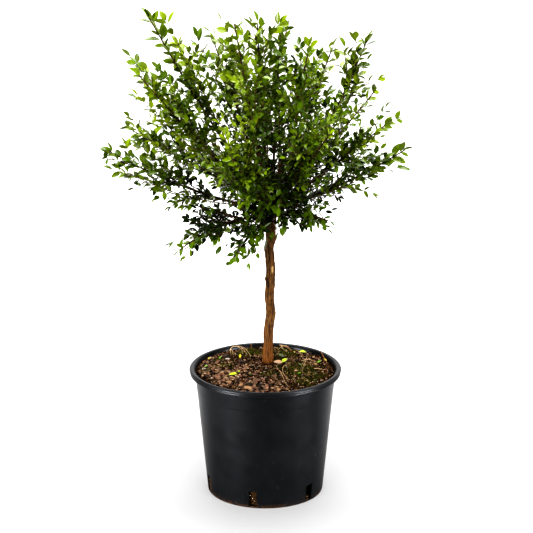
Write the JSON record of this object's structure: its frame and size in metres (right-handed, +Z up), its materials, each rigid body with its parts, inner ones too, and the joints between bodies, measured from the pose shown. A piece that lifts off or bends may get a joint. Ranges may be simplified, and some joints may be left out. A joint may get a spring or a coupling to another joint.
{
  "type": "potted standard shrub",
  "caption": "Small-leaved evergreen shrub trained as a standard: a bare upright trunk, an open rounded crown of leafy shoots, and a round tapered nursery pot filled with compost.",
  "frame": {"origin": "centre of the pot's flat underside, on the surface it stands on", "axes": "+Z straight up along the pot's axis, -Y towards the side that faces the viewer, +X to that viewer's right"},
  "size_m": [0.5563, 0.5126, 0.907],
  "materials": {
    "pot_plastic": "satin",
    "compost": "matte",
    "bark": "matte",
    "foliage": "satin"
  },
  "bodies": {
    "root": {"pot": "pot_plastic", "soil": "compost", "trunk": "bark", "bough_01": "bark", "bough_02": "bark", "bough_03": "bark", "bough_04": "bark", "bough_05": "bark", "bough_06": "bark", "bough_07": "bark", "bough_08": "bark", "bough_09": "bark", "bough_10": "bark", "bough_11": "bark", "bough_12": "bark", "bough_13": "bark", "bough_14": "bark", "bough_15": "bark", "bough_16": "bark", "bough_17": "bark", "bough_18": "bark", "bough_19": "bark", "bough_20": "bark", "bough_21": "bark", "bough_22": "bark", "bough_23": "bark", "bough_24": "bark", "foliage_01": "foliage", "foliage_02": "foliage", "foliage_03": "foliage", "foliage_04": "foliage", "foliage_05": "foliage", "foliage_06": "foliage", "foliage_07": "foliage", "foliage_08": "foliage", "foliage_09": "foliage", "foliage_10": "foliage", "foliage_11": "foliage", "foliage_12": "foliage", "foliage_13": "foliage", "foliage_14": "foliage", "foliage_15": "foliage", "foliage_16": "foliage", "foliage_17": "foliage", "foliage_18": "foliage", "foliage_19": "foliage", "foliage_20": "foliage", "foliage_21": "foliage", "foliage_22": "foliage", "foliage_23": "foliage", "foliage_24": "foliage"}
  },
  "joints": []
}
